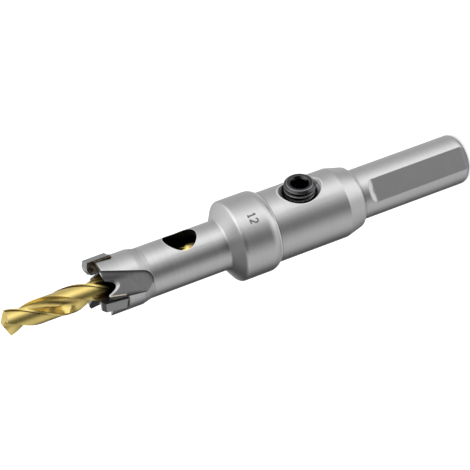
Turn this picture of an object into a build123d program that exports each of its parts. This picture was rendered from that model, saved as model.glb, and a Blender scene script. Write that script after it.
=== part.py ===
from build123d import *
import math
import os

# A carbide-tipped hole saw, standing on the end of its shank with the teeth up.
# The Z axis is the tool's axis and the origin is the centre of the shank's end face.
# Angles about the axis are counted from +X towards +Y, which is the way the tool
# turns as it cuts: clockwise, seen from the shank.
os.makedirs("parts", exist_ok=True)

# Driving dimensions, in millimetres and degrees

# Shank with its three flats for the chuck jaws
shank_diameter = 10.0
shank_length = 24.3
shank_end_round = 1.5
flat_count = 3
flat_length = 21.3
flat_to_axis = 4.44
flat_runout_radius = 2.0
first_flat_angle = -90.0

# Hub, which holds the pilot drill and its set screw
hub_diameter = 14.0
hub_length = 19.1
hub_cone_length = 3.9
hub_cone_end_diameter = 11.95
hub_end_round = 0.9

# Stop flange
flange_diameter = 16.0
flange_rear_round_length = 2.0
flange_width = 5.8
flange_cone_length = 2.05
flange_corner_round = 0.85
tube_root_fillet = 0.6

# Tube and cutting head
tube_diameter = 9.9
tube_length = 16.3
head_diameter = 10.8
head_cone_length = 1.8
head_length = 6.55
head_edge_chamfer = 0.15
cup_bore_diameter = 7.0
cup_bore_depth = 25.5
cup_floor_angle = 118.0
cup_mouth_chamfer = 0.2

# Carbide teeth
tooth_count = 3
cutting_diameter = 12.0
tooth_kerf = 2.75
tooth_length = 5.3
tooth_thickness = 2.1
tooth_protrusion = 2.0
crest_outer_width = 1.0
crest_outer_drop = 0.45
crest_inner_width = 0.95
crest_inner_drop = 0.5
tooth_rear_chamfer = 0.5
flank_relief = 0.75
core_relief = 0.45
top_relief = 0.35
axial_rake_angle = 6.4
first_rake_angle = 5.4
braze_gap = 0.05

# Chip gullets, one in front of each tooth
gullet_lead_angle = 24.0
gullet_length = 10.8
gullet_end_radius = 2.05
gullet_end_offset = 0.9
gullet_flare_angle = 18.0
gullet_floor_angle = 9.0
gullet_floor_break = 3.85

# Slug window in the tube
window_diameter = 6.5
window_from_crest = 18.85
window_angle = -29.1

# Pilot drill
pilot_diameter = 5.0
pilot_length = 71.0
pilot_reach = 17.8
pilot_fit_clearance = 0.04
pilot_hole_spare_depth = 1.5
pilot_point_angle = 135.0
pilot_clearance_angle = 12.0
pilot_lead = 27.0
pilot_land_diameter = 4.6
pilot_margin_angle = 10.0
pilot_lip_offset = 0.48
pilot_lip_length = 1.9
pilot_heel_angle = 106.0
pilot_flute_length = 38.0
pilot_runout_length = 6.0
pilot_lip_angle = -4.6
pilot_tail_chamfer = 0.4
pilot_flat_depth = 0.1
pilot_flat_length = 9.0

# Set screw across the hub
screw_diameter = 6.0
screw_length = 6.05
screw_fit_clearance = 0.1
screw_from_crest = 43.95
screw_angle = -40.1
screw_point_chamfer = 0.7
screw_top_chamfer = 0.55
screw_socket_across_flats = 3.0
screw_socket_depth = 3.0
screw_socket_mouth_diameter = 3.9
screw_countersink_diameter = 8.7

# Heights above the shank's end face, worked out from the lengths above
shank_root_z = shank_length
hub_cone_start_z = shank_root_z + hub_cone_length
hub_front_z = shank_root_z + hub_length
flange_rear_z = hub_front_z + flange_rear_round_length
flange_front_z = flange_rear_z + flange_width
tube_root_z = flange_front_z + flange_cone_length
tube_front_z = tube_root_z + tube_length
head_rear_z = tube_front_z + head_cone_length
head_front_z = head_rear_z + head_length
crest_z = head_front_z + tooth_protrusion
pilot_tip_z = crest_z + pilot_reach
pilot_tail_z = pilot_tip_z - pilot_length
window_z = crest_z - window_from_crest
screw_z = crest_z - screw_from_crest

# Radii
shank_radius = shank_diameter / 2
hub_radius = hub_diameter / 2
flange_radius = flange_diameter / 2
tube_radius = tube_diameter / 2
head_radius = head_diameter / 2
cup_radius = cup_bore_diameter / 2
cutting_radius = cutting_diameter / 2
pilot_radius = pilot_diameter / 2
tooth_pitch_angle = 360.0 / tooth_count
flat_pitch_angle = 360.0 / flat_count

# How far the cutting tools reach past the metal they cut
overrun = 3.0


def around_axis(shape, angle):
    """Turn a shape that was drawn on the +X side to an angle about the tool's axis."""
    return Rot(0, 0, angle) * shape


def turned(outline):
    """Revolve an outline of (radius, height) points about the tool's axis."""
    return revolve(Plane.XZ * outline, Axis.Z)


def body_blank():
    """The turned blank, with every step, cone and round of its outline."""
    flange_drop = flange_radius - hub_radius
    flange_arc_radius = (flange_drop**2 + flange_rear_round_length**2) / (2 * flange_drop)
    flange_arc_turn = math.degrees(math.asin(flange_rear_round_length / flange_arc_radius))
    rear = Polyline(
        (0, 0),
        (shank_radius, 0),
        (shank_radius, shank_root_z),
        (hub_cone_end_diameter / 2, shank_root_z),
        (hub_radius, hub_cone_start_z),
        (hub_radius, hub_front_z),
    )
    flange_round = CenterArc(
        (flange_radius - flange_arc_radius, flange_rear_z), flange_arc_radius, -flange_arc_turn, flange_arc_turn
    )
    front = Polyline(
        (flange_radius, flange_rear_z),
        (flange_radius, flange_front_z),
        (tube_radius, tube_root_z),
        (tube_radius, tube_front_z),
        (head_radius, head_rear_z),
        (head_radius, head_front_z - head_edge_chamfer),
        (head_radius - head_edge_chamfer, head_front_z),
        (0, head_front_z),
        (0, 0),
    )
    profile = make_face(Wire([*rear.edges(), flange_round.edge(), *front.edges()]))
    softened = [
        (shank_radius, 0, shank_end_round),
        (hub_cone_end_diameter / 2, shank_root_z, hub_end_round),
        (flange_radius, flange_front_z, flange_corner_round),
        (tube_radius, tube_root_z, tube_root_fillet),
    ]
    for corner_radius, corner_height, size in softened:
        corner = profile.vertices().sort_by_distance((corner_radius, corner_height, 0))[0]
        profile = fillet(corner, size)
    return turned(profile)


def bores():
    """The stepped hole on the axis: cup, its drill-point floor and the pilot drill's hole."""
    cup_end_z = head_front_z - cup_bore_depth
    hole_radius = pilot_radius + pilot_fit_clearance / 2
    hole_end_z = pilot_tail_z - pilot_hole_spare_depth
    floor_drop = (cup_radius - hole_radius) / math.tan(math.radians(cup_floor_angle / 2))
    outline = Polyline(
        (0, head_front_z + overrun),
        (cup_radius + cup_mouth_chamfer, head_front_z + overrun),
        (cup_radius + cup_mouth_chamfer, head_front_z),
        (cup_radius, head_front_z - cup_mouth_chamfer),
        (cup_radius, cup_end_z),
        (hole_radius, cup_end_z - floor_drop),
        (hole_radius, hole_end_z),
        (0, hole_end_z),
        close=True,
    )
    return turned(make_face(outline))


def shank_flat():
    """One chuck flat, milled up from the shank's end to its rounded run-out."""
    slab = Pos(flat_to_axis, 0, flat_length) * Box(
        shank_radius, shank_diameter, flat_length + overrun, align=(Align.MIN, Align.CENTER, Align.MAX)
    )
    runout = Pos(flat_to_axis + flat_runout_radius, 0, flat_length) * (
        Rot(90, 0, 0) * Cylinder(flat_runout_radius, shank_diameter)
    )
    return slab + runout


def tooth_face(drop, outer_shift, inner_shift, y):
    """Outline of a tooth in a plane along the axis: crown on top, heel below."""
    outer = cutting_radius - outer_shift
    inner = cutting_radius - tooth_kerf - inner_shift
    top = crest_z - drop
    bottom = crest_z - tooth_length
    points = [
        (outer, y, top - crest_outer_drop),
        (outer - crest_outer_width, y, top),
        (inner + crest_inner_width, y, top),
        (inner, y, top - crest_inner_drop),
        (inner, y, bottom),
        (outer - tooth_rear_chamfer, y, bottom),
        (outer, y, bottom + tooth_rear_chamfer),
    ]
    return make_face(Polyline(*points, close=True))


def raked(shape):
    """Tilt a shape about the radius through the crest, to give a tooth its axial rake."""
    return Pos(0, 0, crest_z) * Rot(-axial_rake_angle, 0, 0) * Pos(0, 0, -crest_z) * shape


def tooth(angle):
    """One brazed tip, tapered behind its rake face to clear the cut on three sides."""
    rake_face = tooth_face(0, 0, 0, 0)
    back_face = tooth_face(top_relief, flank_relief, core_relief, -tooth_thickness)
    return around_axis(raked(loft([rake_face, back_face], ruled=True)), angle)


def tooth_seat(angle):
    """The slot through the cup wall that a tip is brazed into."""
    depth = tooth_length + braze_gap
    width = tooth_thickness + 2 * braze_gap
    inner = cutting_radius - tooth_kerf - core_relief - 2 * braze_gap
    slot = Pos(inner, braze_gap, crest_z - depth) * Box(
        tooth_kerf + overrun, width, depth + overrun, align=(Align.MIN, Align.MAX, Align.MIN)
    )
    return around_axis(raked(slot), angle)


def gullet(angle):
    """A pocket milled at a slope in front of a tooth, breaking into the cup at the mouth.

    Its plan is a round end with two straight walls: one in line with the tooth's
    rake face and one that flares out towards the mouth.
    """
    end_y = -gullet_end_offset
    end_z = crest_z - gullet_length + gullet_end_radius
    mouth_z = crest_z + overrun

    def wall(side, slope):
        turn = math.radians(slope)
        touch_y = end_y + side * gullet_end_radius * math.cos(turn)
        touch_z = end_z - side * gullet_end_radius * math.sin(turn)
        return (touch_y, touch_z), (touch_y + (mouth_z - touch_z) * math.tan(turn), mouth_z)

    flared_touch, flared_mouth = wall(1, gullet_flare_angle)
    tooth_touch, tooth_mouth = wall(-1, axial_rake_angle)
    plan = make_face(
        Wire(
            [
                Line(flared_mouth, flared_touch).edge(),
                ThreePointArc(flared_touch, (end_y, end_z - gullet_end_radius), tooth_touch).edge(),
                Line(tooth_touch, tooth_mouth).edge(),
                Line(tooth_mouth, flared_mouth).edge(),
            ]
        )
    )
    prism = extrude(Plane.YZ * plan, flange_radius)
    above_floor = Pos(cup_radius, 0, crest_z - gullet_floor_break) * (
        Rot(0, -gullet_floor_angle, 0)
        * Box(flange_radius, flange_diameter, 4 * gullet_length, align=(Align.MIN, Align.CENTER, Align.CENTER))
    )
    return around_axis(prism & above_floor, angle + gullet_lead_angle)


def window():
    """The round hole in one side of the tube that a slug is pushed out through."""
    drilled = Cylinder(window_diameter / 2, head_diameter, align=(Align.CENTER, Align.CENTER, Align.MIN))
    return around_axis(Pos(0, 0, window_z) * Rot(0, 90, 0) * drilled, window_angle)


def screw_hole():
    """The cross hole for the set screw, with a wide countersunk mouth."""
    hole_radius = (screw_diameter + screw_fit_clearance) / 2
    mouth_radius = screw_countersink_diameter / 2
    mouth_depth = mouth_radius - hole_radius
    upwards = (Align.CENTER, Align.CENTER, Align.MIN)
    hole = Cylinder(hole_radius, flange_diameter, align=upwards)
    mouth = Cone(hole_radius, mouth_radius + overrun, mouth_depth + overrun, align=upwards)
    drilled = hole + Pos(0, 0, hub_radius - mouth_depth) * mouth
    return around_axis(Pos(0, 0, screw_z) * Rot(0, 90, 0) * drilled, screw_angle)


def cutter_body():
    """Shank, hub, flange, tube and head, machined from one bar."""
    body = body_blank() - bores()
    for index in range(flat_count):
        body -= around_axis(shank_flat(), first_flat_angle + index * flat_pitch_angle)
    for index in range(tooth_count):
        rake_angle = first_rake_angle + index * tooth_pitch_angle
        body -= gullet(rake_angle)
        body -= tooth_seat(rake_angle)
    return body - window() - screw_hole()


def pilot_section():
    """Cross-section of the fluted part: a web and two relieved lands, each with its margin.

    A flute's wall is straight along the lip, a little ahead of the centre, and
    then an arc that meets the straight wall smoothly and ends at the heel.
    """
    land_radius = pilot_land_diameter / 2
    corner_x = math.sqrt(pilot_radius**2 - pilot_lip_offset**2)
    corner_angle = math.degrees(math.asin(pilot_lip_offset / pilot_radius))
    bend_x = corner_x - pilot_lip_length
    heel_x = land_radius * math.cos(math.radians(pilot_heel_angle))
    heel_y = land_radius * math.sin(math.radians(pilot_heel_angle))
    heel_rise = heel_y - pilot_lip_offset
    arc_radius = ((bend_x - heel_x) ** 2 + heel_rise**2) / (2 * heel_rise)
    outside = pilot_diameter
    bend = (bend_x, pilot_lip_offset)
    heel = (heel_x, heel_y)
    beyond_heel = (2 * heel_x, 2 * heel_y)
    beyond_lip = (outside, pilot_lip_offset)
    middle_angle = math.radians(225)
    arc_middle = (
        bend_x + arc_radius * math.cos(middle_angle),
        pilot_lip_offset + arc_radius + arc_radius * math.sin(middle_angle),
    )
    flute = make_face(
        Wire(
            [
                Line(beyond_lip, bend).edge(),
                ThreePointArc(bend, arc_middle, heel).edge(),
                Line(heel, beyond_heel).edge(),
                Line(beyond_heel, (outside, outside)).edge(),
                Line((outside, outside), beyond_lip).edge(),
            ]
        )
    )
    margin_wedge = make_face(
        Polyline(
            (0, 0),
            (outside, 0),
            (outside, -outside * math.tan(math.radians(pilot_margin_angle))),
            close=True,
        )
    )
    margin = Circle(pilot_radius) & (Rot(0, 0, corner_angle) * margin_wedge)
    section = Circle(land_radius)
    for lip_angle in (0, 180):
        section += Rot(0, 0, lip_angle) * margin
    for lip_angle in (0, 180):
        section -= Rot(0, 0, lip_angle) * flute
    return section


def pilot_drill():
    """A right-hand twist drill: twisted flutes that run out into a plain shank."""
    section = Pos(0, 0, pilot_tip_z) * Rot(0, 0, pilot_lip_angle) * pilot_section()
    twist = 360.0 * pilot_flute_length / pilot_lead
    fluted = Solid.extrude_linear_with_rotation(
        section.face(), (0, 0, pilot_tip_z), (0, 0, -pilot_flute_length), twist
    )
    flute_end_z = pilot_tip_z - pilot_flute_length
    shank_outline = Polyline(
        (0, flute_end_z + pilot_runout_length),
        (pilot_radius, flute_end_z),
        (pilot_radius, pilot_tail_z + pilot_tail_chamfer),
        (pilot_radius - pilot_tail_chamfer, pilot_tail_z),
        (0, pilot_tail_z),
        close=True,
    )
    drill = fluted + turned(make_face(shank_outline))
    screw_flat = Pos(pilot_radius - pilot_flat_depth, 0, screw_z) * Box(
        pilot_diameter, pilot_diameter, pilot_flat_length, align=(Align.MIN, Align.CENTER, Align.CENTER)
    )
    return (drill & pilot_point()) - around_axis(screw_flat, screw_angle)


def pilot_point():
    """The space under the drill's point: two ground planes that meet in the chisel edge.

    Each plane falls away along its lip by the point angle, and behind the lip by
    the clearance angle.
    """
    lip_slope = math.tan(math.radians(90 - pilot_point_angle / 2))
    heel_slope = math.tan(math.radians(pilot_clearance_angle))
    roof_drop = math.hypot(lip_slope, heel_slope) * pilot_diameter
    roof_turn = math.degrees(math.atan2(heel_slope, lip_slope))
    roof = Polyline(
        (0, pilot_tip_z),
        (pilot_diameter, pilot_tip_z - roof_drop),
        (pilot_diameter, 0),
        (-pilot_diameter, 0),
        (-pilot_diameter, pilot_tip_z - roof_drop),
        close=True,
    )
    prism = extrude(Plane.XZ * make_face(roof), pilot_diameter, both=True)
    return around_axis(prism, pilot_lip_angle - roof_turn)


def set_screw():
    """A hex-socket set screw, tightened down on the pilot drill's flat."""
    radius = screw_diameter / 2
    outline = Polyline(
        (0, 0),
        (radius - screw_point_chamfer, 0),
        (radius, screw_point_chamfer),
        (radius, screw_length - screw_top_chamfer),
        (radius - screw_top_chamfer, screw_length),
        (0, screw_length),
        close=True,
    )
    socket_plan = RegularPolygon(screw_socket_across_flats / 2, 6, major_radius=False)
    socket = Pos(0, 0, screw_length - screw_socket_depth) * extrude(socket_plan, screw_length)
    mouth_diameter = screw_socket_mouth_diameter
    mouth = Pos(0, 0, screw_length) * Cone(0, mouth_diameter, mouth_diameter)
    screw = turned(make_face(outline)) - socket - mouth
    seat = pilot_radius - pilot_flat_depth
    return around_axis(Pos(seat, 0, screw_z) * Rot(0, 90, 0) * screw, screw_angle)


pieces = {
    "cutter_body": cutter_body(),
    "pilot_drill": pilot_drill(),
    "set_screw": set_screw(),
}
for number in range(tooth_count):
    pieces[f"carbide_tooth_{number + 1}"] = tooth(first_rake_angle + number * tooth_pitch_angle)

for name, piece in pieces.items():
    export_step(piece, f"parts/{name}.step")
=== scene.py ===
"""Finishes and small parts for a carbide-tipped hole saw, around its packed CAD model."""

import math
from collections import namedtuple

import bpy
import numpy as np
from bpy.props import FloatProperty, FloatVectorProperty, IntProperty, PointerProperty
from bpy.types import Operator, Panel, PropertyGroup
from mathutils import Matrix


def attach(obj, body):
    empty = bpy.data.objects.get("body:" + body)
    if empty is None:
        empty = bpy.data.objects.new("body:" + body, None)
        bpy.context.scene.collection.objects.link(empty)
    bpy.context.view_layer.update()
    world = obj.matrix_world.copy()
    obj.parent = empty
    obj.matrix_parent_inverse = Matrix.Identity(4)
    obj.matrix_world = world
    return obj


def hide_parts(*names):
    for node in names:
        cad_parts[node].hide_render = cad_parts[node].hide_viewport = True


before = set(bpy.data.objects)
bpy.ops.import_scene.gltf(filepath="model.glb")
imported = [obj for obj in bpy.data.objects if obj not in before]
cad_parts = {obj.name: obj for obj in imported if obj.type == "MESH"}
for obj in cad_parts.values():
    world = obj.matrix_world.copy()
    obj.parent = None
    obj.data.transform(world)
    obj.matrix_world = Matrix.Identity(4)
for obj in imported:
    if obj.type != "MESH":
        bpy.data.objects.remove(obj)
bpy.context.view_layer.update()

bl_info = {
    "name": "Hole saw finishes",
    "version": (1, 0, 0),
    "blender": (4, 5, 0),
    "location": "3D View > Sidebar > Hole saw",
    "description": "Adds the set screw, braze, size number, materials and studio of a hole saw",
    "category": "Object",
}

ROOT = "root"
MM = 0.001
WHITE = (1.0, 1.0, 1.0, 1.0)

# Stations of the CAD model that the new pieces and the finishes are fitted to, in millimetres
CREST_HEIGHT = 79.9
HEAD_FRONT_HEIGHT = 77.9
HEAD_RADIUS = 5.4
HEAD_CONE_REAR_HEIGHT = 69.55
HEAD_CONE_FRONT_HEIGHT = 71.35
TUBE_RADIUS = 4.95
TOOTH_LENGTH = 5.3
TOOTH_THICKNESS = 2.1
TOOTH_INNER_RADIUS = 3.25
TOOTH_COUNT = 3
FIRST_RAKE_ANGLE = math.radians(5.4)
AXIAL_RAKE = math.radians(6.4)
CUP_RADIUS = 3.5
GULLET_LEAD_ANGLE = math.radians(24.0)
GULLET_FLOOR_BREAK = 3.85
GULLET_FLOOR_SLOPE = math.tan(math.radians(9.0))
SCREW_HEIGHT = 35.95
SCREW_ANGLE = math.radians(-40.1)
SCREW_SEAT_RADIUS = 2.4
WINDOW_HEIGHT = 61.05
WINDOW_ANGLE = math.radians(-29.1)
FLANGE_RADIUS = 8.0
NUMBER_HEIGHT = 47.8

# On the countersink's cone the position along the screw's axis less the distance from it is this much
SINK_OFFSET = 2.65
SINK_RING_PITCH = 0.5

# Bands of radius, height and distance on the body, each as low edge, high edge and softness in millimetres
FLAT_RADII = (0.0, 4.96, 0.015)
FLAT_HEIGHTS = (1.2, 21.3, 0.3)
RUN_OUT_RADII = (4.5, 4.94, 0.015)
RUN_OUT_HEIGHTS = (21.4, 23.2, 0.05)
SHOULDER_LINE_HEIGHTS = (43.26, 43.36, 0.04)
SHOULDER_EDGE_HEIGHTS = (43.5, 43.8, 0.06)
GULLET_RADII = (CUP_RADIUS + 0.03, HEAD_RADIUS - 0.03, 0.01)
GULLET_HEIGHTS = (69.0, HEAD_FRONT_HEIGHT - 0.05, 0.03)
GULLET_ROOT_RADII = (CUP_RADIUS - 0.05, CUP_RADIUS + 0.6, 0.25)
BORE_EDGE_RADII = (CUP_RADIUS + 0.01, CUP_RADIUS + 0.13, 0.01)
INSIDE_RADII = (0.0, CUP_RADIUS + 0.1, 0.05)
INSIDE_HEIGHTS = (30.0, 76.7, 0.5)
SINK_EDGE = (SINK_OFFSET - 0.32, SINK_OFFSET - 0.04, 0.02)
SINK_CONE = (SINK_OFFSET - 0.02, SINK_OFFSET + 0.5, 0.02)
WINDOW_WALL_RADII = (3.4, TUBE_RADIUS - 0.035, 0.012)
WINDOW_WALL_DISTANCES = (3.0, 3.3, 0.05)
WINDOW_EDGE_RADII = (TUBE_RADIUS - 0.03, 5.1, 0.012)
WINDOW_EDGE_DISTANCES = (3.2, 3.36, 0.03)
HEAD_CONE_BLEND_HEIGHTS = (69.0, 72.0, 0.2)
HEAD_CONE_SLOPE_HEIGHTS = (69.75, 71.15, 0.9)

# How much darker each kind of face is than the rest of its piece, as a share; on the gullet walls and root,
# the unlit inside and the shoulder line it is painted shade
GULLET_DARKENING = 0.12
GULLET_WALL_DARKENING = 0.75
GULLET_ROOT_DARKENING = 0.55
FLAT_DARKENING = 0.22
UNLIT_DARKENING = 0.94
SHOULDER_LINE_DARKENING = 0.45
RAKE_FACE_DARKENING = 0.8

# Where light falls on the drill: out of the cup, and through the window on one side
DRILL_DARK_HEIGHT = 76.6
DRILL_LIT_HEIGHT = 79.4
WINDOW_LIGHT_HEIGHTS = (56.8, 64.6, 0.5)
WINDOW_LIGHT_ANGLE = WINDOW_ANGLE - math.radians(34.0)

# Distances from the set screw's axis that carry painted highlights, as bands in millimetres
CROWN_EDGE_DISTANCES = (2.42, 2.66, 0.05)
CREST_DISTANCES = (2.93, 3.3, 0.04)

# The side of the tool that the photograph shows, as an angle about its axis
FRONT_ANGLE = math.radians(275.4)


def length(name, description, value, low=0.0):
    """A length in millimetres that a user can change."""
    return FloatProperty(name=name, description=description, default=value, min=low)


def share(name, description, value):
    """A share between nothing and all."""
    return FloatProperty(
        name=name, description=description, default=value, min=0.0, max=1.0, subtype="FACTOR"
    )


def tint(name, description, value):
    """A linear colour."""
    return FloatVectorProperty(
        name=name, description=description, default=value, size=3, min=0.0, max=1.0, subtype="COLOR"
    )


class SteelSettings(PropertyGroup):
    """Finish of the turned and milled body."""

    color: tint("Steel", "Colour of the satin steel", (0.70, 0.70, 0.705))
    roughness: share("Roughness", "Roughness of the turned faces", 0.33)
    milled_roughness: share("Milled roughness", "Roughness of the flats and gullets", 0.5)
    stretch: share("Stretch", "How far the turning marks stretch the highlights", 0.7)
    # The bright edge colour below is a painted highlight on the body's edges
    worn: tint("Worn edges", "Colour of the bright worn edges", (0.95, 0.95, 0.94))
    mark_pitch: length("Turning marks", "Spacing of the fine turning marks in millimetres", 0.12)
    mark_depth: share("Mark depth", "Strength of the turning marks", 0.12)


class CoatingSettings(PropertyGroup):
    """Finish of the coated pilot drill."""

    color: tint("Coating", "Colour of the gold nitride", (1.0, 0.82, 0.31))
    # The flutes' colour below is painted shade: the brown that the coating turns to where the flutes close
    # in
    flute_shade: tint("Flutes", "Colour of the coating deep in the flutes", (0.17, 0.09, 0.022))
    roughness: share("Roughness", "Roughness of the ground flutes", 0.15)


class CarbideSettings(PropertyGroup):
    """Finish of the teeth."""

    color: tint("Carbide", "Colour of the ground carbide", (0.44, 0.44, 0.445))
    # The darkest colour below is painted shade on the back faces, patched with the braze stain
    back_shade: tint("Burnt", "Darkest colour of the back faces", (0.05, 0.045, 0.035))
    stain: tint("Stain", "Colour of the braze stain on the back faces", (0.24, 0.18, 0.12))
    roughness: share("Roughness", "Roughness of the ground faces", 0.365)


class ScrewSettings(PropertyGroup):
    """Sizes and finish of the set screw."""

    color: tint("Oxide", "Colour of the black oxide", (0.06, 0.06, 0.064))
    # The bright colour below is a painted highlight on the crown's edge and the thread crests
    crest_highlight: tint("Rubbed edges", "Colour of the crown's edge and the thread crests", (0.30, 0.30, 0.31))
    roughness: share("Roughness", "Roughness of the black oxide", 0.15)
    diameter: length("Diameter", "Outer diameter of the thread in millimetres", 6.0)
    screw_length: length("Length", "Length of the screw in millimetres", 6.05)
    pitch: length("Pitch", "Rise of the thread in one turn in millimetres", 1.0, 0.2)
    thread_depth: length("Thread depth", "Depth of the thread in millimetres", 0.55)
    first_crest: length("First crest", "Distance of the first crest under the crown in millimetres", 0.35)
    socket: length("Socket", "Size of the hex socket across its flats in millimetres", 3.0)
    socket_depth: length("Socket depth", "Depth of the hex socket in millimetres", 3.0)
    around: IntProperty(name="Facets", description="Facets round the screw", default=192, min=24)


class BrazeSettings(PropertyGroup):
    """Sizes and finish of the braze at the teeth."""

    color: tint("Braze", "Colour of the braze metal", (0.26, 0.21, 0.15))
    pale: tint("Clean braze", "Colour of the braze at the foot of a rake face", (0.86, 0.79, 0.66))
    stain: tint("Stain", "Colour of the heat stain in the braze", (0.13, 0.09, 0.06))
    half_width: length("Half width", "Half the width of a bead in millimetres", 0.12)
    foot_half_width: length("Foot half width", "Half the width of a rake face's bead in millimetres", 0.17)
    half_height: length("Half height", "Half the thickness of a bead in millimetres", 0.09)


class NumberSettings(PropertyGroup):
    """Sizes and finish of the plain size number on the flange."""

    color: tint("Mark", "Colour of the etched strokes", (0.12, 0.12, 0.12))
    height: length("Height", "Height of the digits in millimetres", 1.5)
    width: length("Width", "Width of a digit in millimetres", 0.95)
    spacing: length("Spacing", "Distance from one digit to the next in millimetres", 1.2)
    stroke: length("Stroke", "Half the width of a stroke in millimetres", 0.16)
    proud: length("Proud", "How far the strokes stand proud of the flange in millimetres", 0.015)
    first_angle: FloatProperty(
        name="Place",
        description="Angle of the first digit about the axis",
        default=math.radians(302.0),
        subtype="ANGLE",
    )


class StageSettings(PropertyGroup):
    """Camera, floor and lights."""

    lens: FloatProperty(name="Lens", description="Focal length in millimetres", default=161.5, min=1.0)
    fill: FloatProperty(name="Fill", description="Strength of the light all round", default=0.75, min=0.0)
    key: FloatProperty(name="Key", description="Power of the large soft lamp", default=0.5, min=0.0)
    side: FloatProperty(name="Side", description="Power of the side lamp", default=0.2, min=0.0)
    floor: tint("Floor", "Colour of the floor", (0.86, 0.86, 0.86))


SETTINGS = {
    "hole_saw_steel": SteelSettings,
    "hole_saw_coating": CoatingSettings,
    "hole_saw_carbide": CarbideSettings,
    "hole_saw_screw": ScrewSettings,
    "hole_saw_braze": BrazeSettings,
    "hole_saw_number": NumberSettings,
    "hole_saw_stage": StageSettings,
}


# Mesh helpers


def radial(angle):
    """Unit vector away from the tool's axis at an angle about it, one row per angle."""
    angle = np.asarray(angle, float)
    return np.stack([np.cos(angle), np.sin(angle), np.zeros_like(angle)], axis=-1)


def closed_skin(points):
    """Vertices, quads and end triangles of a grid of points in millimetres that closes along its columns.

    The first and the last row each shrink to one vertex, their mean, so the
    skin has a pole at each end and no open edge.
    """
    rows, columns = points.shape[:2]
    ring_points = points[1:-1].reshape(-1, 3)
    poles = np.stack([points[0].mean(axis=0), points[-1].mean(axis=0)])
    vertices = np.concatenate([ring_points, poles]) * MM
    last_ring = (rows - 3) * columns
    here = np.arange(columns)
    there = np.roll(here, -1)
    low = np.arange(0, last_ring, columns)[:, None]
    high = low + columns
    quads = np.stack([low + here, low + there, high + there, high + here], axis=-1).reshape(-1, 4)
    first_pole = np.full(columns, len(ring_points))
    first_fan = np.stack([first_pole, there, here], axis=-1)
    last_fan = np.stack([first_pole + 1, last_ring + here, last_ring + there], axis=-1)
    return vertices, quads, np.concatenate([first_fan, last_fan])


def piece_from(name, skins, material, sharp_angle):
    """One object at the origin from one or more closed skins, riding on the tool."""
    faces = []
    offset = 0
    for vertices, quads, fans in skins:
        faces += (quads + offset).tolist() + (fans + offset).tolist()
        offset += len(vertices)
    mesh = bpy.data.meshes.new(name)
    mesh.from_pydata(np.concatenate([skin[0] for skin in skins]).tolist(), [], faces)
    mesh.update()
    mesh.shade_smooth()
    mesh.set_sharp_from_angle(angle=sharp_angle)
    mesh.materials.append(material)
    piece = bpy.data.objects.new(name, mesh)
    bpy.context.scene.collection.objects.link(piece)
    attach(piece, ROOT)
    return piece


def bead(path, outward, half_width, half_height):
    """The skin of a round-ended bead carried along a path.

    At each point of the path the section is an ellipse, half_width across the
    path and half_height along the outward direction. Near both ends it shrinks
    as the square root of the distance to the end, which rounds them.
    """
    sides = 12
    along = np.gradient(path, axis=0)
    along /= np.linalg.norm(along, axis=1, keepdims=True)
    across = np.cross(along, outward)
    across /= np.linalg.norm(across, axis=1, keepdims=True)
    travelled = distances_along(path)
    to_end = np.minimum(travelled, travelled[-1] - travelled)
    size = np.sqrt(np.clip(to_end / half_width, 0.0, 1.0))[:, None, None]
    turn = np.linspace(0.0, 2 * math.pi, sides, endpoint=False)[None, :, None]
    sideways = half_width * np.cos(turn) * across[:, None, :]
    upward = half_height * np.sin(turn) * outward[:, None, :]
    return closed_skin(path[:, None, :] + size * (sideways + upward))


def distances_along(path):
    """The distance travelled from the start of a path to each of its points."""
    steps = np.linalg.norm(np.diff(path, axis=0), axis=1)
    return np.concatenate([[0.0], np.cumsum(steps)])


def resampled(corners, spacing):
    """Points at an even spacing along straight runs between the corners."""
    corners = np.asarray(corners, float)
    travelled = distances_along(corners)
    wanted = np.linspace(0.0, travelled[-1], max(3, int(travelled[-1] / spacing) + 1))
    axes = [np.interp(wanted, travelled, axis) for axis in corners.T]
    return np.stack(axes, axis=-1)


# Node helpers


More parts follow.
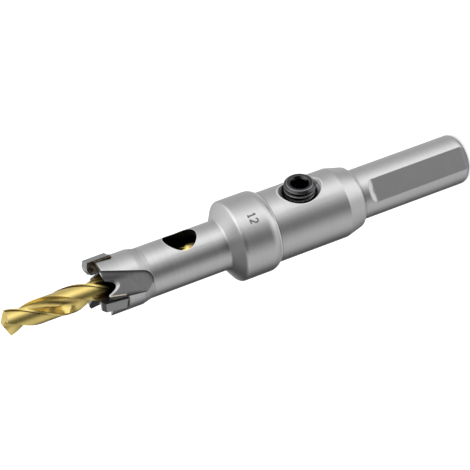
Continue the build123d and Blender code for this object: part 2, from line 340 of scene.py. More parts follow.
class NodeBuilder:
    """Adds nodes to one tree and joins them as it goes."""

    def __init__(self, tree):
        self.tree = tree
        tree.nodes.clear()

    def add(self, kind, inputs=None, **settings):
        """A new node. Each input is a value, or the output socket of another node."""
        made = self.tree.nodes.new("ShaderNode" + kind)
        for key, value in settings.items():
            setattr(made, key, value)
        for key, value in (inputs or {}).items():
            if isinstance(value, bpy.types.NodeSocket):
                self.tree.links.new(value, made.inputs[key])
            else:
                made.inputs[key].default_value = value
        return made

    def math(self, operation, first, second=0.0, third=0.0):
        """The result of one arithmetic step."""
        return self.add("Math", {0: first, 1: second, 2: third}, operation=operation).outputs[0]

    def product(self, first, *others):
        """The product of several numbers."""
        for other in others:
            first = self.math("MULTIPLY", first, other)
        return first

    def greatest(self, first, *others):
        """The greatest of several numbers."""
        for other in others:
            first = self.math("MAXIMUM", first, other)
        return first

    def lessened(self, amount, mask):
        """One where a mask is nothing, and one less the amount where it is one."""
        return self.math("MULTIPLY_ADD", mask, -amount, 1.0)

    def varied(self, middle, reach, noise):
        """A number that noise between nothing and one carries over a reach about a middle."""
        return self.math("MULTIPLY_ADD", noise, reach, middle - reach / 2)

    def spread(self, value, low, high, first=0.0, last=1.0):
        """A value carried over from the range low to high to the range first to last, and held there."""
        inputs = {"Value": value, "From Min": low, "From Max": high, "To Min": first, "To Max": last}
        return self.add("MapRange", inputs).outputs[0]

    def band(self, value, low, high, soft):
        """One where the value lies between low and high, with soft edges, and else nothing."""
        rise = self.spread(value, low - soft, low + soft)
        fall = self.spread(value, high + soft, high - soft)
        return self.product(rise, fall)

    def vector(self, operation, *operands):
        """The result of one step on vectors, which is a number for a dot product or a length."""
        inputs = dict(enumerate(operands))
        if operation == "SCALE":
            inputs = {0: operands[0], "Scale": operands[1]}
        node = self.add("VectorMath", inputs, operation=operation)
        return node.outputs["Value" if operation in ("DOT_PRODUCT", "LENGTH") else "Vector"]

    def noise(self, place, scale, detail, roughness=0.5):
        """Smooth noise between nothing and one."""
        inputs = {"Vector": place, "Scale": scale, "Detail": detail, "Roughness": roughness}
        return self.add("TexNoise", inputs).outputs[0]

    def bump(self, relief, strength, depth=0.05):
        """A normal that a relief of some depth in millimetres disturbs."""
        inputs = {"Height": relief, "Strength": strength, "Distance": depth * MM}
        return self.add("Bump", inputs).outputs[0]

    def mix_color(self, amount, first, second):
        """A colour between two others."""
        return self.add("Mix", {0: amount, 6: first, 7: second}, data_type="RGBA").outputs[2]

    def ramp(self, amount, stops):
        """A grey ramp through (place, value) stops."""
        node = self.add("ValToRGB", {0: amount})
        elements = node.color_ramp.elements
        elements[0].position = stops[0][0]
        elements[1].position = stops[-1][0]
        for place, _ in stops[1:-1]:
            elements.new(place)
        for element, (_, value) in zip(elements, stops):
            element.color = (value, value, value, 1.0)
        return node.outputs[0]

    def output(self, shader, kind="OutputMaterial"):
        """Join a shader to the tree's output."""
        self.add(kind, {"Surface": shader})


def new_material(name):
    """A material with an empty node tree, and its builder."""
    material = bpy.data.materials.new(name)
    material.use_nodes = True
    return material, NodeBuilder(material.node_tree)


def rgba(color):
    """A colour property as red, green, blue and alpha."""
    return (*color, 1.0)


ToolPlace = namedtuple("ToolPlace", "place radius height")
Facing = namedtuple("Facing", "outward sense normal away")


def tool_place(nodes):
    """Object coordinates in millimetres, as position, radius and height."""
    coordinates = nodes.add("TexCoord").outputs["Object"]
    place = nodes.vector("SCALE", coordinates, 1 / MM)
    parts = nodes.add("SeparateXYZ", {0: place})
    flat = nodes.add("CombineXYZ", {0: parts.outputs[0], 1: parts.outputs[1]}).outputs[0]
    return ToolPlace(place, nodes.vector("LENGTH", flat), parts.outputs[2])


def facing(nodes, place):
    """How far a face looks away from the axis and along the turning sense, its normal and the way out.

    Along the turning sense a rake face has one and a back face has minus one.
    """
    normal = nodes.add("NewGeometry").outputs["Normal"]
    level = nodes.vector("MULTIPLY", place, (1.0, 1.0, 0.0))
    away = nodes.vector("NORMALIZE", level)
    around = nodes.vector("CROSS_PRODUCT", (0.0, 0.0, 1.0), away)
    outward = nodes.vector("DOT_PRODUCT", normal, away)
    sense = nodes.vector("DOT_PRODUCT", normal, around)
    return Facing(outward, sense, normal, away)


def hole_place(nodes, place, hole_height, hole_angle):
    """Position along a cross hole's axis and distance from it, in millimetres."""
    outward = (math.cos(hole_angle), math.sin(hole_angle), 0.0)
    lowered = nodes.vector("SUBTRACT", place, (0.0, 0.0, hole_height))
    depth = nodes.vector("DOT_PRODUCT", lowered, outward)
    on_axis = nodes.vector("SCALE", outward, depth)
    aside = nodes.vector("SUBTRACT", lowered, on_axis)
    return depth, nodes.vector("LENGTH", aside)


def openness(nodes, reach):
    """How open the surroundings are within a reach in millimetres: one on open faces, less in corners."""
    return nodes.add("AmbientOcclusion", {"Distance": reach * MM}, samples=12).outputs["AO"]


def painted_crease_shade(nodes, reach, darkest):
    """Painted shade near inner corners and in gaps: a factor from darkest there to one on open faces."""
    return nodes.spread(openness(nodes, reach), 0.5, 0.9, darkest, 1.0)


# Materials


class BodyPoint:
    """Where a shaded point of the body lies, which way it faces and which milled face it is on."""

    def __init__(self, nodes):
        self.place, self.radius, self.height = tool_place(nodes)
        self.outward, self.sense, self.normal, self.away = facing(nodes, self.place)
        self.in_gullets = nodes.band(self.height, *GULLET_HEIGHTS)
        self.gullets = nodes.product(nodes.band(self.radius, *GULLET_RADII), self.in_gullets)
        flat_height = nodes.band(self.height, *FLAT_HEIGHTS)
        self.flats = nodes.product(nodes.band(self.radius, *FLAT_RADII), flat_height)
        sink_depth, self.sink_distance = hole_place(nodes, self.place, SCREW_HEIGHT, SCREW_ANGLE)
        self.sink = nodes.math("SUBTRACT", sink_depth, self.sink_distance)
        window = hole_place(nodes, self.place, WINDOW_HEIGHT, WINDOW_ANGLE)
        self.window_depth, self.window_distance = window


def softened_head_cone(nodes, point):
    """The normal, blended over the short cone between tube and head so that both its edges look rounded."""
    heights = (HEAD_CONE_REAR_HEIGHT, HEAD_CONE_FRONT_HEIGHT)
    skin = nodes.spread(point.height, *heights, TUBE_RADIUS, HEAD_RADIUS)
    skin_tolerance = 0.035
    cone_lean = 0.3
    on_skin = nodes.math("GREATER_THAN", nodes.math("SUBTRACT", point.radius, skin), -skin_tolerance)
    near = nodes.product(on_skin, nodes.band(point.height, *HEAD_CONE_BLEND_HEIGHTS))
    lean = nodes.product(nodes.band(point.height, *HEAD_CONE_SLOPE_HEIGHTS), -cone_lean)
    leaning = nodes.vector("ADD", point.away, nodes.add("CombineXYZ", {2: lean}).outputs[0])
    rounded = nodes.vector("NORMALIZE", leaning)
    return nodes.add("Mix", {0: near, 4: point.normal, 5: rounded}, data_type="VECTOR").outputs[1]


def painted_edge_highlights(nodes, point):
    """A mask of the painted highlights on the bright edges: cup in the gullets, countersink, window,
    flange's rear and run-outs.
    """
    rising = nodes.spread(point.sense, -0.25, 0.08)
    bore_edge = nodes.product(nodes.band(point.radius, *BORE_EDGE_RADII), point.in_gullets, rising)
    sink_edge = nodes.band(point.sink, *SINK_EDGE)
    window_edge = nodes.product(
        nodes.band(point.radius, *WINDOW_EDGE_RADII),
        nodes.band(point.window_distance, *WINDOW_EDGE_DISTANCES),
        nodes.math("GREATER_THAN", point.window_depth, 0.0),
    )
    shoulder_edge = nodes.band(point.height, *SHOULDER_EDGE_HEIGHTS)
    run_outs = nodes.product(
        nodes.band(point.radius, *RUN_OUT_RADII), nodes.band(point.height, *RUN_OUT_HEIGHTS)
    )
    masks_and_highlight_strengths = [(sink_edge, 0.9), (window_edge, 0.8), (shoulder_edge, 0.85), (run_outs, 0.5)]
    return nodes.greatest(bore_edge, *(nodes.product(mask, wear) for mask, wear in masks_and_highlight_strengths))


def unlit_inside(nodes, point):
    """A mask of the body's faces inside the cup and round the window, where little light comes."""
    in_cup = nodes.band(point.height, *INSIDE_HEIGHTS)
    inside = nodes.product(nodes.band(point.radius, *INSIDE_RADII), in_cup)
    window_wall = nodes.product(
        nodes.band(point.radius, *WINDOW_WALL_RADII),
        nodes.band(point.window_distance, *WINDOW_WALL_DISTANCES),
    )
    return nodes.greatest(inside, nodes.product(window_wall, 0.93))


def gullet_shade(nodes, point, cutter_lines):
    """How light the gullets are: a little darker overall, with painted shade on steep walls and at the root
    of the falling side, and rippled by the cutter lines.
    """
    walls = nodes.product(point.gullets, nodes.spread(point.outward, 0.7, 0.5))
    falling = nodes.spread(point.sense, -0.12, -0.35)
    root = nodes.product(nodes.band(point.radius, *GULLET_ROOT_RADII), point.in_gullets, falling)
    ripple_depth = 0.9
    ripples = nodes.product(nodes.math("SUBTRACT", cutter_lines, 0.5), point.gullets, ripple_depth)
    return nodes.product(
        nodes.lessened(GULLET_DARKENING, point.gullets),
        nodes.lessened(GULLET_WALL_DARKENING, walls),
        nodes.lessened(GULLET_ROOT_DARKENING, root),
        nodes.math("ADD", ripples, 1.0),
    )


def sink_shade(nodes, point):
    """How light the countersink is: darker than the body by painted shade in the hollow, with rings that
    the cutter left.
    """
    rings = nodes.math("SINE", nodes.product(point.sink_distance, 2 * math.pi / SINK_RING_PITCH))
    marks = nodes.math("MULTIPLY_ADD", rings, 0.25, -0.35)
    return nodes.math("ADD", nodes.product(nodes.band(point.sink, *SINK_CONE), marks), 1.0)


def steel_shade(nodes, point, rings, cutter_lines):
    """How light the steel is: the product of a factor for each kind of face and mark; the gullet walls and
    root, the countersink, the unlit inside, the shoulder line and the creases carry painted shade.
    """
    wobble = nodes.noise(point.place, scale=0.35, detail=2.0)
    return nodes.product(
        nodes.varied(0.99, 0.08, wobble),
        nodes.varied(1.0, 0.24, rings),
        gullet_shade(nodes, point, cutter_lines),
        sink_shade(nodes, point),
        nodes.lessened(FLAT_DARKENING, point.flats),
        nodes.lessened(UNLIT_DARKENING, unlit_inside(nodes, point)),
        # Painted shade: a dark line on the hub's side of the flange's rear round
        nodes.lessened(SHOULDER_LINE_DARKENING, nodes.band(point.height, *SHOULDER_LINE_HEIGHTS)),
        painted_crease_shade(nodes, reach=1.0, darkest=0.1),
    )


def turned_steel(settings):
    """Satin steel: fine rings on turned faces, straight cutter lines on the milled ones, painted shade in
    hollows and creases and painted highlights on the edges.
    """
    material, nodes = new_material("turned_steel")
    point = BodyPoint(nodes)
    ring_place = nodes.add("CombineXYZ", {0: point.radius, 2: point.height}).outputs[0]
    rings = nodes.noise(ring_place, scale=0.5 / settings.mark_pitch, detail=4.0, roughness=0.7)
    cutter_place = nodes.vector("MULTIPLY", point.place, (0.5, 0.5, 7.0))
    cutter_lines = nodes.noise(cutter_place, scale=1.0, detail=5.0, roughness=0.75)
    milled_grain = nodes.noise(point.place, scale=5.0, detail=5.0)
    milled = nodes.greatest(point.flats, point.gullets)
    rough_turned = nodes.varied(settings.roughness, 0.10, rings)
    rough_milled = nodes.varied(settings.milled_roughness, 0.14, milled_grain)
    shade = steel_shade(nodes, point, rings, cutter_lines)
    steel = nodes.vector("SCALE", tuple(settings.color), shade)
    # Painted highlights on the edges, mixed over the steel as a bright colour that is not metallic
    worn = painted_edge_highlights(nodes, point)
    bump = nodes.add(
        "Bump",
        {
            "Height": nodes.add("Mix", {0: milled, 2: rings, 3: cutter_lines}).outputs[0],
            "Strength": settings.mark_depth,
            "Distance": 0.05 * MM,
            "Normal": softened_head_cone(nodes, point),
        },
    )
    surface = nodes.add(
        "BsdfPrincipled",
        {
            "Base Color": nodes.mix_color(worn, steel, rgba(settings.worn)),
            "Metallic": nodes.math("SUBTRACT", 1.0, worn),
            "Roughness": nodes.add("Mix", {0: milled, 2: rough_turned, 3: rough_milled}).outputs[0],
            "Anisotropic": settings.stretch,
            "Anisotropic Rotation": 0.25,
            "Tangent": nodes.add("Tangent", direction_type="RADIAL", axis="Z").outputs[0],
            "Normal": bump.outputs[0],
        },
    )
    nodes.output(surface.outputs[0])
    return material


def drill_light(nodes, place, height):
    """How much light falls on the drill: full outside the cup and under the window, and little between."""
    outside = nodes.math("POWER", nodes.spread(height, DRILL_DARK_HEIGHT, DRILL_LIT_HEIGHT), 2.0)
    lit_side = tuple(radial(WINDOW_LIGHT_ANGLE).tolist())
    away = facing(nodes, place).away
    near_side = nodes.spread(nodes.vector("DOT_PRODUCT", away, lit_side), 0.72, 0.84)
    in_window = nodes.product(nodes.band(height, *WINDOW_LIGHT_HEIGHTS), near_side)
    darkest = 0.04
    return nodes.spread(nodes.greatest(outside, in_window), 0.0, 1.0, darkest, 1.0)


def gold_coating(settings):
    """Gold nitride on ground steel, with painted brown shade in the flutes and painted shade inside the
    cup, lit under the window.
    """
    material, nodes = new_material("gold_coating")
    place, _, height = tool_place(nodes)
    grain = nodes.noise(place, scale=9.0, detail=4.0)
    deepening = (0.88, 0.80, 0.6)
    deeper = tuple(channel * factor for channel, factor in zip(settings.color, deepening))
    patches = nodes.noise(place, scale=0.8, detail=3.0)
    color = nodes.mix_color(patches, rgba(settings.color), rgba(deeper))
    # Painted shade: where the surroundings close in, the coating turns to the flutes' shaded brown
    painted_flute_shade = nodes.spread(openness(nodes, reach=2.0), 0.93, 0.66)
    color = nodes.mix_color(painted_flute_shade, color, rgba(settings.flute_shade))
    surface = nodes.add(
        "BsdfPrincipled",
        {
            "Base Color": nodes.vector("SCALE", color, drill_light(nodes, place, height)),
            "Metallic": 0.84,
            "Roughness": nodes.varied(settings.roughness, 0.12, grain),
            "Normal": nodes.bump(grain, strength=0.06),
        },
    )
    nodes.output(surface.outputs[0])
    return material


def ground_carbide(settings):
    """Grey carbide with fine grinding lines along the tool, dark rake faces, back faces in painted shade
    patched with braze stain, and painted shade in creases.
    """
    material, nodes = new_material("ground_carbide")
    place = tool_place(nodes).place
    line_place = nodes.vector("MULTIPLY", place, (9.0, 9.0, 0.7))
    lines = nodes.noise(line_place, scale=1.0, detail=4.0)
    sense = facing(nodes, place).sense
    rake = nodes.spread(sense, 0.7, 0.85)
    back = nodes.spread(sense, -0.7, -0.85)
    shade = nodes.product(
        nodes.varied(1.0, 0.3, lines),
        nodes.lessened(RAKE_FACE_DARKENING, rake),
        painted_crease_shade(nodes, reach=0.6, darkest=0.15),
    )
    # Back faces: a patchwork of painted shade, where the noise is low, and the real braze stain
    patches = nodes.spread(nodes.noise(place, scale=1.8, detail=3.0), 0.42, 0.6)
    stain = nodes.mix_color(patches, rgba(settings.back_shade), rgba(settings.stain))
    face = nodes.mix_color(back, rgba(settings.color), stain)
    surface = nodes.add(
        "BsdfPrincipled",
        {
            "Base Color": nodes.vector("SCALE", face, shade),
            "Metallic": 1.0,
            "Roughness": nodes.varied(settings.roughness, 0.15, lines),
            "Normal": nodes.bump(lines, strength=0.12),
        },
    )
    nodes.output(surface.outputs[0])
    return material


def black_oxide(settings):
    """Oiled black oxide: dark, glossy, slightly uneven, with painted highlights on the crown's edge and the
    crests and painted shade in the creases and the socket.
    """
    material, nodes = new_material("black_oxide")
    place = tool_place(nodes).place
    grain = nodes.noise(place, scale=6.0, detail=4.0)
    brighter = tuple(channel * 1.6 for channel in settings.color)
    oxide = nodes.mix_color(grain, rgba(settings.color), rgba(brighter))
    depth, distance = hole_place(nodes, place, SCREW_HEIGHT, SCREW_ANGLE)
    crown = SCREW_SEAT_RADIUS + settings.screw_length
    at_crown = nodes.spread(depth, crown - 0.09, crown - 0.03)
    under_crown = nodes.spread(depth, crown - 0.39, crown - 0.45)
    # Painted highlights: a bright band on the crown's edge and on the thread crests
    crown_edge = nodes.product(nodes.band(distance, *CROWN_EDGE_DISTANCES), at_crown)
    crests = nodes.product(nodes.band(distance, *CREST_DISTANCES), under_crown)
    color = nodes.mix_color(nodes.greatest(crown_edge, crests), oxide, rgba(settings.crest_highlight))
    surface = nodes.add(
        "BsdfPrincipled",
        {
            "Base Color": nodes.vector("SCALE", color, painted_crease_shade(nodes, reach=1.2, darkest=0.04)),
            "Metallic": 1.0,
            "Roughness": nodes.varied(settings.roughness, 0.14, grain),
            "Normal": nodes.bump(grain, strength=0.08),
        },
    )
    nodes.output(surface.outputs[0])
    return material


def braze_metal(name, settings, color, metallic, stained):
    """Braze of one colour with a share of brown heat stains."""
    material, nodes = new_material(name)
    stains = nodes.noise(tool_place(nodes).place, scale=1.6, detail=3.0)
    stain_share = nodes.spread(stains, 0.4, 0.65, 0.0, stained)
    surface = nodes.add(
        "BsdfPrincipled",
        {
            "Base Color": nodes.mix_color(stain_share, rgba(color), rgba(settings.stain)),
            "Metallic": metallic,
            "Roughness": 0.38,
            "Normal": nodes.bump(stains, strength=0.2, depth=0.1),
        },
    )
    nodes.output(surface.outputs[0])
    return material


def etched_mark(settings):
    """Dark etched strokes, a little uneven."""
    material, nodes = new_material("etched_mark")
    grain = nodes.noise(tool_place(nodes).place, scale=7.0, detail=3.0)
    lighter = tuple(channel * 2.5 for channel in settings.color)
    color = nodes.mix_color(grain, rgba(settings.color), rgba(lighter))
    surface = nodes.add("BsdfPrincipled", {"Base Color": color, "Metallic": 0.4, "Roughness": 0.55})
    nodes.output(surface.outputs[0])
    return material


def studio_bands(nodes, direction):
    """How bright the studio is in a direction: tall soft panels with dark gaps between them.

    The direction's angle about the tool's axis, counted from the side that the
    photograph shows, runs through three grey ramps: one for the level, one for
    what stands high and one for the table below. Straight up it is mid grey.
    """
    axis_turn = {"Vector": direction, "Axis": (0.0, 0.0, 1.0), "Angle": -FRONT_ANGLE}
    turned = nodes.add("VectorRotate", axis_turn, rotation_type="AXIS_ANGLE").outputs[0]
    parts = nodes.add("SeparateXYZ", {0: nodes.vector("NORMALIZE", turned)})
    angle = nodes.math("ARCTAN2", parts.outputs[1], parts.outputs[0])
    place = nodes.math("MULTIPLY_ADD", angle, 0.5 / math.pi, 0.5)
    level_stops = [
        (-180, 0.50),
        (-162, 0.14),
        (-140, 0.05),
        (-122, 0.20),
        (-98, 0.50),
        (-70, 0.57),
        (-48, 0.36),
        (-32, 0.08),
        (-20, 0.02),
        (-6, 0.04),
        (12, 0.34),
        (30, 0.94),
        (48, 1.20),
        (66, 0.92),
        (86, 0.62),
        (115, 0.46),
        (150, 0.50),
        (180, 0.50),
    ]
    high_stops = [
        (-180, 1.00),
        (-168, 0.40),
        (-155, 0.02),
        (-130, 0.10),
        (-110, 0.26),
        (-60, 0.24),
        (-20, 0.17),
        (0, 0.22),
        (22, 0.55),
        (45, 1.05),
        (69, 1.30),
        (90, 1.30),
        (104, 1.06),
        (118, 0.86),
        (135, 0.66),
        (155, 0.62),
        (180, 1.00),
    ]
    table_stops = [
        (-180, 0.60),
        (-130, 0.36),
        (-113, 0.42),
        (-93, 0.50),
        (-70, 0.67),
        (-24, 0.76),
        (0, 1.15),
        (24, 1.30),
        (48, 1.27),
        (70, 0.80),
        (90, 0.42),
        (114, 0.34),
        (150, 0.80),
        (180, 0.80),
    ]

    def panels(stops):
        return nodes.ramp(place, [((degrees + 180) / 360, value) for degrees, value in stops])

    overhead_grey = (0.3, 0.3, 0.3, 1.0)
    height = parts.outputs[2]
    high = nodes.spread(height, 0.1, 0.34)
    overhead = nodes.spread(height, 0.85, 0.98)
    table = nodes.spread(height, -0.4, -0.72)
    level_and_high = nodes.mix_color(high, panels(level_stops), panels(high_stops))
    above_table = nodes.mix_color(overhead, level_and_high, overhead_grey)
    return nodes.mix_color(table, above_table, panels(table_stops))


# Operators


def dress_node(name, material):
    """Give a CAD node its material."""
    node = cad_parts[name]
    node.data.materials.clear()
    node.data.materials.append(material)


class FinishBody(Operator):
    """Give the body its satin turned steel"""

    bl_idname = "hole_saw.finish_body"
    bl_label = "Finish the body"

    def execute(self, context):
        dress_node("cutter_body", turned_steel(context.scene.hole_saw_steel))
        return {"FINISHED"}


class FinishDrill(Operator):
    """Give the pilot drill its gold coating"""

    bl_idname = "hole_saw.finish_drill"
    bl_label = "Finish the pilot drill"

    def execute(self, context):
        dress_node("pilot_drill", gold_coating(context.scene.hole_saw_coating))
        return {"FINISHED"}


class FinishTeeth(Operator):
    """Give the three teeth their ground carbide"""

    bl_idname = "hole_saw.finish_teeth"
    bl_label = "Finish the teeth"

    def execute(self, context):
        material = ground_carbide(context.scene.hole_saw_carbide)
        for number in range(TOOTH_COUNT):
            dress_node(f"carbide_tooth_{number + 1}", material)
        return {"FINISHED"}


def thread_radii(settings, heights, turn, low, high):
    """The radius of the threaded part at each height and angle, with the thread fading out at both ends.

    It is the screw's radius less the thread's depth times a rounded triangle
    wave of (height / pitch - turn).
    """
    crest_share = 0.12
    fade_length = 0.35
    first_crest = settings.screw_length - settings.first_crest
    phase = (heights[:, None] - first_crest) / settings.pitch - turn[None, :] / (2 * math.pi)
    wave = np.abs((phase % 1.0) * 2 - 1)
    groove = np.clip((wave - crest_share) / (1 - 2 * crest_share), 0.0, 1.0)
    fade = np.clip(np.minimum(heights - low, high - heights) / fade_length, 0.0, 1.0)
    return settings.diameter / 2 - settings.thread_depth * groove * fade[:, None]


def screw_skin(settings):
    """Points of the threaded set screw on a grid of (station along the outline, angle).

    The outline runs from the centre of the point, up the thread, over the
    crown and down into the socket, with its corners rounded by a few
    hundredths of a millimetre. In the socket, the radius is the apothem divided
    by the cosine of the angle to the middle of the nearest flat.
    """
    radius = settings.diameter / 2
    top = settings.screw_length
    turn = np.linspace(0.0, 2 * math.pi, settings.around, endpoint=False)
    thread_rows = 110
    point_chamfer = 0.7
    point_radius = radius - point_chamfer
    crown_chamfer = 0.45
    crown_radius = radius - crown_chamfer
    crown_inner = 1.95
    socket_chamfer = 0.5
    socket_floor = top - settings.socket_depth
    drill_point_depth = 0.45
    sixth = math.pi / 3
    hexagon = settings.socket / 2 / np.cos((turn + sixth / 2) % sixth - sixth / 2)

    def ring(size, height):
        return np.broadcast_to(np.asarray(size, float), turn.shape), np.full_like(turn, height)

    rows = [
        ring(0.0, 0.0),
        ring(1.2, 0.0),
        ring(point_radius - 0.06, 0.0),
        ring(point_radius, 0.04),
        ring(radius - 0.04, point_chamfer - 0.04),
    ]
    heights = np.linspace(point_chamfer, top - crown_chamfer, thread_rows)
    thread = thread_radii(settings, heights, turn, point_chamfer, top - crown_chamfer)
    rows += [ring(radii, height) for radii, height in zip(thread, heights)]
    rows += [
        ring(radius - 0.02, top - crown_chamfer + 0.02),
        ring(crown_radius + 0.05, top - 0.07),
        ring(crown_radius - 0.03, top - 0.01),
        ring(crown_radius - 0.12, top),
        ring(crown_inner + 0.06, top),
        ring(crown_inner, top - 0.02),
        ring(np.maximum(hexagon, crown_inner - 0.12), top - 0.14),
        ring(hexagon + 0.015, top - socket_chamfer + 0.02),
        ring(hexagon, top - socket_chamfer - 0.02),
        ring(hexagon, socket_floor + 0.02),
        ring(hexagon - 0.02, socket_floor),
        ring(0.6, socket_floor - 0.25),
        ring(0.0, socket_floor - drill_point_depth),
    ]
    sizes = np.stack([row[0] for row in rows])
    levels = np.stack([row[1] for row in rows])
    outward = radial(SCREW_ANGLE)
    upward = np.array([0.0, 0.0, 1.0])
    sideways = np.cross(upward, outward)
    centre = outward * SCREW_SEAT_RADIUS + upward * SCREW_HEIGHT
    across = (sizes * np.cos(turn))[..., None] * sideways + (sizes * np.sin(turn))[..., None] * upward
    return centre + levels[..., None] * outward + across


class BuildScrew(Operator):
    """Put a threaded set screw in the place of its plain CAD solid"""

    bl_idname = "hole_saw.build_screw"
    bl_label = "Build the set screw"

    def execute(self, context):
        settings = context.scene.hole_saw_screw
        skin = closed_skin(screw_skin(settings))
        oxide = black_oxide(settings)
        screw = piece_from("threaded_set_screw", [skin], oxide, math.radians(32))
        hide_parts("set_screw")
        return {"FINISHED"}


def tooth_seat_point(x, y, height, angle):
    """A point beside a tooth, from its place in the tooth's own upright frame.

    The frame leans by the axial rake about the radius through the crest, and
    is then turned to the tooth's angle about the tool's axis.
    """
    x, y, height = np.broadcast_arrays(*(np.asarray(value, float) for value in (x, y, height)))
    drop = height - CREST_HEIGHT
    leaned_y = y * math.cos(AXIAL_RAKE) + drop * math.sin(AXIAL_RAKE)
    leaned_z = CREST_HEIGHT - y * math.sin(AXIAL_RAKE) + drop * math.cos(AXIAL_RAKE)
    turned_x = x * math.cos(angle) - leaned_y * math.sin(angle)
    turned_y = x * math.sin(angle) + leaned_y * math.cos(angle)
    return np.stack([turned_x, turned_y, leaned_z], axis=-1)


def braze_beads(settings, angle):
    """The beads round one tooth: along its back, under its heel and at the foot of its rake face.

    The foot's bead lies where the gullet's floor meets the rake face. The floor
    is a plane that leads the tooth by the gullet's lead angle, so its distance
    along the tooth's radius is its height plus what the lean takes up, divided
    by the cosine of that angle.
    """
    gap = 0.05
    spacing = 0.06
    back = -TOOTH_THICKNESS - gap
    heel = CREST_HEIGHT - TOOTH_LENGTH - 0.03
    side = resampled([(back, HEAD_FRONT_HEIGHT - 0.1), (back, heel), (0.0, heel)], spacing)
    side_x = np.sqrt(HEAD_RADIUS**2 - side[:, 0] ** 2)
    side_path = tooth_seat_point(side_x, side[:, 0], side[:, 1], angle)
    side_out = side_path * np.array([1.0, 1.0, 0.0])
    side_out /= np.linalg.norm(side_out, axis=1, keepdims=True)

    across = resampled([(TOOTH_INNER_RADIUS + 0.3, HEAD_FRONT_HEIGHT), (4.85, HEAD_FRONT_HEIGHT)], spacing)
    top_path = tooth_seat_point(across[:, 0], back, across[:, 1], angle)
    top_path[:, 2] = HEAD_FRONT_HEIGHT
    top_out = np.tile([0.0, 0.0, 1.0], (len(top_path), 1))

    depths = np.linspace(2.2, TOOTH_LENGTH + gap, 24)
    floor_height = CUP_RADIUS + (depths - GULLET_FLOOR_BREAK) * GULLET_FLOOR_SLOPE
    leaned = depths * math.sin(AXIAL_RAKE)
    foot_x = (floor_height + leaned * math.sin(GULLET_LEAD_ANGLE)) / math.cos(GULLET_LEAD_ANGLE)
    foot_path = tooth_seat_point(foot_x, 0.02, CREST_HEIGHT - depths, angle)
    foot_out = np.tile(radial(angle + GULLET_LEAD_ANGLE), (len(foot_path), 1))
    seams = [
        bead(side_path, side_out, settings.half_width, settings.half_height),
        bead(top_path, top_out, settings.half_width, settings.half_height),
    ]
    return seams, [bead(foot_path, foot_out, settings.foot_half_width, settings.half_height)]


class BuildBraze(Operator):
    """Lay the braze round the three teeth"""

    bl_idname = "hole_saw.build_braze"
    bl_label = "Build the braze"

    def execute(self, context):
        settings = context.scene.hole_saw_braze
        stained = braze_metal("stained_braze", settings, settings.color, metallic=0.85, stained=1.0)
        pale = braze_metal("clean_braze", settings, settings.pale, metallic=0.1, stained=0.15)
        for number in range(TOOTH_COUNT):
            angle = FIRST_RAKE_ANGLE + number * 2 * math.pi / TOOTH_COUNT
            seams, foot = braze_beads(settings, angle)
            piece_from(f"braze_{number + 1}", seams, stained, math.radians(60))
            piece_from(f"braze_foot_{number + 1}", foot, pale, math.radians(60))
        return {"FINISHED"}


def digit_strokes():
    """The strokes of the digits 1 and 2 in a box one wide and one high.

    The 1 is a flag and a stem with a foot. The 2 is an arc of a circle that
    runs into a straight diagonal and a straight base.
    """
    turn = np.radians(np.linspace(165, -35, 24))
    bow = np.stack([0.5 + 0.42 * np.cos(turn), 0.70 + 0.29 * np.sin(turn)], axis=-1)
    two = np.concatenate([bow, [(0.06, 0.0), (0.98, 0.0)]])
    one = [(0.18, 0.74), (0.52, 1.0), (0.52, 0.0)]
    foot = [(0.15, 0.0), (0.90, 0.0)]
    return [(0, one), (0, foot), (1, two)]


class BuildNumber(Operator):
    """Etch the plain size number on the flange"""

    bl_idname = "hole_saw.build_number"
    bl_label = "Build the size number"

    def execute(self, context):
        settings = context.scene.hole_saw_number
        strokes = []
        for place, corners in digit_strokes():
            line = resampled(corners, 0.04)
            along = (place * settings.spacing + line[:, 0] * settings.width) / FLANGE_RADIUS
            outward = radial(settings.first_angle - along)
            height = NUMBER_HEIGHT - (line[:, 1] - 0.5) * settings.height
            path = outward * FLANGE_RADIUS + height[:, None] * np.array([0.0, 0.0, 1.0])
            strokes.append(bead(path, outward, settings.stroke, settings.proud))
        piece_from("size_number", strokes, etched_mark(settings), math.radians(60))
        return {"FINISHED"}


def stance(right, up, back, place):
    """The matrix of an object at a place, with its own three axes along these directions."""
    matrix = Matrix.Identity(4)
    for row in range(3):
        matrix[row][0:4] = (right[row], up[row], back[row], place[row])
    return matrix


def soft_lamp(name, place, target, size, power):
    """A square soft lamp that faces a target and that the camera doesn't see."""
    data = bpy.data.lights.new(name, "AREA")
    data.shape = "SQUARE"
    data.size = size
    data.energy = power
    lamp = bpy.data.objects.new(name, data)
    back = np.asarray(place, float) - np.asarray(target, float)
    back /= np.linalg.norm(back)
    right = np.cross([0.0, 0.0, 1.0], back)
    right /= np.linalg.norm(right)
    lamp.matrix_world = stance(right, np.cross(back, right), back, place)
    lamp.visible_camera = False
    bpy.context.scene.collection.objects.link(lamp)


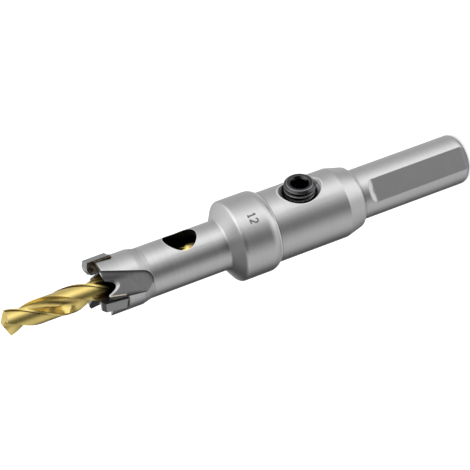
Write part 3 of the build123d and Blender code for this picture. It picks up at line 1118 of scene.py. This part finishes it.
class SetStage(Operator):
    """Set up the camera, the floor, the lamps and the studio"""

    bl_idname = "hole_saw.set_stage"
    bl_label = "Set the stage"

    def execute(self, context):
        settings = context.scene.hole_saw_stage
        self.place_camera(settings)
        self.lay_floor(settings)
        self.light_studio(settings)
        context.scene.view_settings.view_transform = "Standard"
        return {"FINISHED"}

    def place_camera(self, settings):
        """A long lens from the photograph's side, rolled so that the tool lies across the picture.

        Its place and its axes were fitted to the outline and the round edges that
        the photograph shows.
        """
        data = bpy.data.cameras.new("camera")
        data.lens = settings.lens
        data.sensor_width = 36.0
        data.clip_start = 0.01
        camera = bpy.data.objects.new("camera", data)
        right = (-0.31202, -0.35376, -0.88177)
        up = (0.94601, -0.02935, -0.32294)
        back = (0.08837, -0.93492, 0.34379)
        place = (0.03594, -0.37211, 0.18642)
        camera.matrix_world = stance(right, up, back, place)
        bpy.context.scene.collection.objects.link(camera)
        bpy.context.scene.camera = camera

    def lay_floor(self, settings):
        """A plain pale floor that takes the object's shadow, with a glow that only the camera sees."""
        half = 4.0
        gap_under_tool = 0.00005
        glow = 0.62
        mesh = bpy.data.meshes.new("floor")
        corners = [(-half, -half, 0.0), (half, -half, 0.0), (half, half, 0.0), (-half, half, 0.0)]
        mesh.from_pydata(corners, [], [(0, 1, 2, 3)])
        floor = bpy.data.objects.new("floor", mesh)
        floor.location.z = -gap_under_tool
        floor.visible_glossy = False
        bpy.context.scene.collection.objects.link(floor)
        material, nodes = new_material("floor")
        material.cycles.emission_sampling = "NONE"
        path = nodes.add("LightPath")
        plain = nodes.add("BsdfDiffuse", {"Color": rgba(settings.floor)}).outputs[0]
        bright = nodes.add("Emission", {"Color": WHITE, "Strength": glow}).outputs[0]
        seen = nodes.add("AddShader", {0: plain, 1: bright}).outputs[0]
        surface = nodes.add("MixShader", {0: path.outputs["Is Camera Ray"], 1: plain, 2: seen})
        nodes.output(surface.outputs[0])
        mesh.materials.append(material)

    def light_studio(self, settings):
        """Even light all round, white behind the tool, with the panels for what reflects."""
        world = bpy.data.worlds.new("studio")
        bpy.context.scene.world = world
        world.use_nodes = True
        world.cycles.sampling_method = "NONE"
        nodes = NodeBuilder(world.node_tree)
        path = nodes.add("LightPath")
        direction = nodes.add("TexCoord").outputs["Generated"]
        bands = studio_bands(nodes, direction)
        even = nodes.add("Background", {"Color": WHITE, "Strength": settings.fill}).outputs[0]
        white = nodes.add("Background", {"Color": WHITE, "Strength": 1.0}).outputs[0]
        panels = nodes.add("Background", {"Color": bands, "Strength": 1.0}).outputs[0]
        shown = nodes.add("MixShader", {0: path.outputs["Is Camera Ray"], 1: even, 2: white}).outputs[0]
        surface = nodes.add("MixShader", {0: path.outputs["Is Glossy Ray"], 1: shown, 2: panels})
        nodes.output(surface.outputs[0], "OutputWorld")
        target = (0.0, 0.0, 0.05)
        soft_lamp("key_lamp", (0.35, -0.35, 0.55), target, size=0.6, power=settings.key)
        soft_lamp("side_lamp", (-0.5, -0.2, 0.3), target, size=0.5, power=settings.side)


class HoleSawPanel(Panel):
    """Steps and settings of the hole saw"""

    bl_idname = "VIEW3D_PT_hole_saw"
    bl_label = "Hole saw"
    bl_space_type = "VIEW_3D"
    bl_region_type = "UI"
    bl_category = "Hole saw"

    def draw(self, context):
        for step in STEPS:
            self.layout.operator(step.bl_idname)
        for name, group in SETTINGS.items():
            box = self.layout.box()
            box.label(text=group.__doc__)
            for key in group.__annotations__:
                box.prop(getattr(context.scene, name), key)


STEPS = [SetStage, FinishBody, FinishDrill, FinishTeeth, BuildScrew, BuildBraze, BuildNumber]
CLASSES = [*SETTINGS.values(), *STEPS, HoleSawPanel]


def register():
    """Register the classes and hang the settings on the scene."""
    for entry in CLASSES:
        bpy.utils.register_class(entry)
    for name, group in SETTINGS.items():
        setattr(bpy.types.Scene, name, PointerProperty(type=group))


def unregister():
    """Undo what register does."""
    for name in SETTINGS:
        delattr(bpy.types.Scene, name)
    for entry in reversed(CLASSES):
        bpy.utils.unregister_class(entry)


def main():
    """Register the classes, then run every step in order."""
    register()
    for step in STEPS:
        group, action = step.bl_idname.split(".")
        getattr(getattr(bpy.ops, group), action)()


if __name__ == "__main__":
    main()
